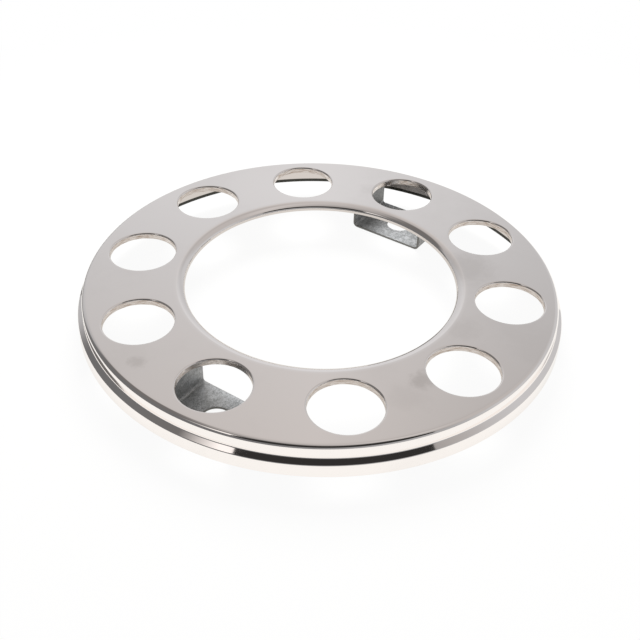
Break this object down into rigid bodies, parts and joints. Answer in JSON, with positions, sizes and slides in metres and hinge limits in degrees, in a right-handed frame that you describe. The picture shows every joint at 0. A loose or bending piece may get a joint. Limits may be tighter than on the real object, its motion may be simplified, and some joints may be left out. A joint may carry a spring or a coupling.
{
  "type": "wheel cover",
  "caption": "Pressed ring that covers a truck wheel's nut circle, with a stepped rim, collared nut holes and folded brackets held under the wheel nuts.",
  "frame": {"origin": "on the ring's axis, level with the underside of the bracket plates", "axes": "+Z out of the cover's face along the wheel axis, +X through the stud hole of one bracket"},
  "size_m": [0.4299, 0.43, 0.038],
  "materials": {
    "polished_steel": "polished",
    "galvanised_steel": "galvanised"
  },
  "bodies": {
    "root": {"cover_ring": "polished_steel", "bracket_a": "galvanised_steel", "bracket_b": "galvanised_steel"}
  },
  "joints": []
}
